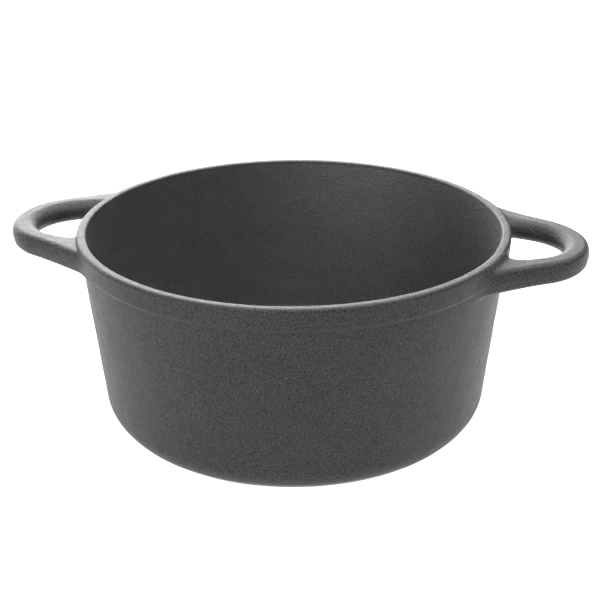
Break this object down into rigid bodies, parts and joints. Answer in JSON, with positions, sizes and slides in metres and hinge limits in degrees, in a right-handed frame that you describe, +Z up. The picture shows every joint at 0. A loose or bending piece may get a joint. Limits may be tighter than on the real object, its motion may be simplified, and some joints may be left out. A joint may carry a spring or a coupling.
{
  "type": "cast iron dutch oven",
  "caption": "Round cast iron pot with tapered wall, thick rim band and a level loop handle on each side; open top, no lid.",
  "frame": {"origin": "centre of the flat underside", "axes": "+Z up through the open mouth, +X along the line through both handles"},
  "size_m": [0.336, 0.2494, 0.1154],
  "materials": {
    "cast_iron": "bare as-cast iron, seasoned, matte dark grey with a fine sand-cast grain"
  },
  "bodies": {
    "root": {"pot_base": "cast_iron", "pot_wall": "cast_iron", "rim_band": "cast_iron", "handle_right": "cast_iron", "handle_left": "cast_iron"}
  },
  "joints": []
}
